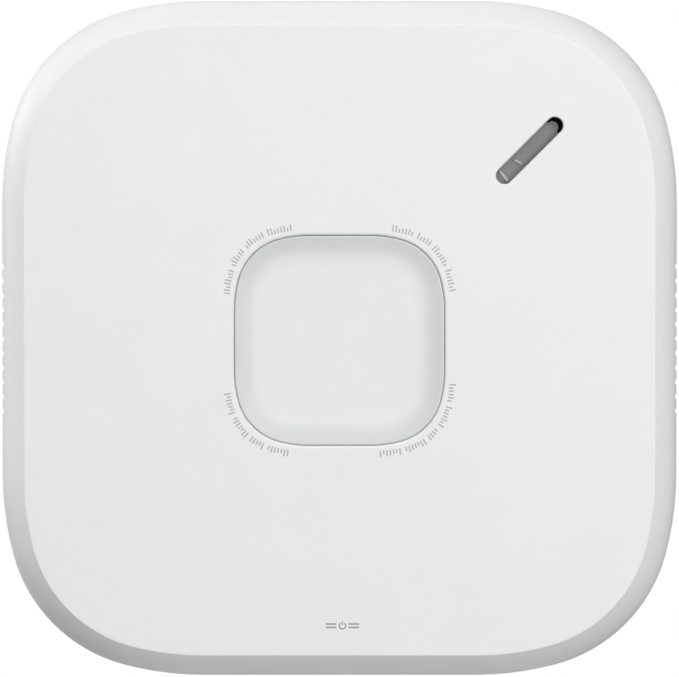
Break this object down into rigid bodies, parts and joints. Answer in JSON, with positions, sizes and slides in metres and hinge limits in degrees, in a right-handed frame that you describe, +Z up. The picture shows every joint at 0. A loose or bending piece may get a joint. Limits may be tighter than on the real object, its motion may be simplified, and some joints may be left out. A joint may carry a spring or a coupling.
{
  "type": "smoke detector",
  "caption": "Square wall-mounted smoke alarm with a dished press-to-test button, a slanted horn slot, a twist-off mounting plate and a hinged battery door.",
  "frame": {"origin": "middle of the mounting plate's wall face", "axes": "+Y into the wall, -Y the way the front looks, +Z up the wall, +X to the right as seen from the room"},
  "size_m": [0.14, 0.04, 0.14],
  "materials": {
    "baffle_black": "black ABS",
    "bead_epoxy": "epoxy-dipped bead",
    "board_green": "solder-masked glass-epoxy laminate",
    "brass": "rolled brass",
    "button_white": "smooth translucent white polycarbonate",
    "can_metal": "nickel-plated can",
    "can_sleeve": "shrink sleeve",
    "cap_white": "moulded cap with diffusion holes",
    "cell_wrap": "plain printed film over a steel can",
    "ceramic_cream": "silvered piezo ceramic",
    "chamber_black": "light-absorbing black ABS",
    "chip_black": "moulded epoxy",
    "coil_grey": "ferrite and lacquered wire",
    "contact_nickel": "nickel-plated sheet",
    "cover_white": "fine spark-eroded white ABS",
    "door_white": "matt off-white ABS",
    "gasket_black": "closed-cell foam",
    "guide_milk": "opal acrylic",
    "horn_grey": "grey ABS",
    "housing_white": "matt off-white ABS",
    "label_blank": "blank paper label",
    "led_clear": "cast silicone over a reflector",
    "optic_clear": "clear epoxy lens",
    "optic_dark": "daylight-filter epoxy lens",
    "pad_foam": "open-cell foam",
    "pin_gold": "gold-flashed pins",
    "pipe_clear": "clear acrylic",
    "plate_white": "matt white ABS",
    "plunger_cream": "acetal",
    "radio_board": "blue solder-masked laminate",
    "screen_steel": "woven wire mesh",
    "screw_steel": "zinc-plated pan-head screws",
    "shield_tin": "tin-plated shield",
    "small_parts": "ceramic with tinned ends",
    "spring_steel": "drawn spring wire",
    "switch_black": "glass-filled nylon"
  },
  "bodies": {
    "plate": {"mounting_plate": "plate_white"},
    "head": {"rear_housing": "housing_white", "front_cover": "cover_white", "button_light_baffle": "baffle_black", "button_light_guide": "guide_milk", "button_springs": "spring_steel", "dome_switch_bodies": "switch_black", "main_pcb": "board_green", "pcb_screws": "screw_steel", "housing_screws": "screw_steel", "ring_leds": "led_clear", "power_led": "led_clear", "power_light_pipe": "pipe_clear", "microcontroller": "chip_black", "logic_chips": "chip_black", "passives": "small_parts", "power_inductors": "coil_grey", "electrolytic_capacitors": "can_sleeve", "horn_transformer": "coil_grey", "wireless_board": "radio_board", "wireless_shield": "shield_tin", "temperature_sensor": "bead_epoxy", "horn_housing": "horn_grey", "horn_gasket": "gasket_black", "piezo_disc": "brass", "piezo_ceramic": "ceramic_cream", "horn_contact_springs": "spring_steel", "chamber_gasket": "gasket_black", "smoke_chamber_base": "chamber_black", "smoke_chamber_labyrinth": "chamber_black", "smoke_chamber_cap": "chamber_black", "insect_screen": "screen_steel", "infrared_led": "optic_clear", "photodiode": "optic_dark", "co_sensor_can": "can_metal", "co_sensor_cap": "cap_white", "co_sensor_pins": "pin_gold", "battery_cell_1": "cell_wrap", "battery_cell_2": "cell_wrap", "battery_cell_3": "cell_wrap", "battery_contacts": "contact_nickel", "battery_springs": "spring_steel"},
    "button": {"test_button": "button_white"},
    "plungers": {"dome_switch_plungers": "plunger_cream"},
    "door": {"battery_door": "door_white", "battery_door_pad": "pad_foam", "battery_door_label": "label_blank"}
  },
  "joints": [
    {"name": "head_twist", "type": "hinge", "parent": "plate", "child": "head", "pos_m": [0, 0, 0], "axis": [0, -1, 0], "range_deg": [0, 15]},
    {"name": "button_press", "type": "slide", "parent": "head", "child": "button", "axis": [0, 1, 0], "range_m": [0, 0.001], "stiffness_N_per_m": 900, "springref_m": -0.002, "deforming": ["button_springs"]},
    {"name": "switch_press", "type": "slide", "parent": "head", "child": "plungers", "axis": [0, 1, 0], "range_m": [0, 0.001]},
    {"name": "battery_door_hinge", "type": "hinge", "parent": "head", "child": "door", "pos_m": [0, -0.0047, -0.0283], "axis": [-1, 0, 0], "range_deg": [0, 95]}
  ],
  "couplings": [
    {"joint": "switch_press", "follows": "button_press", "ratio": 1}
  ]
}
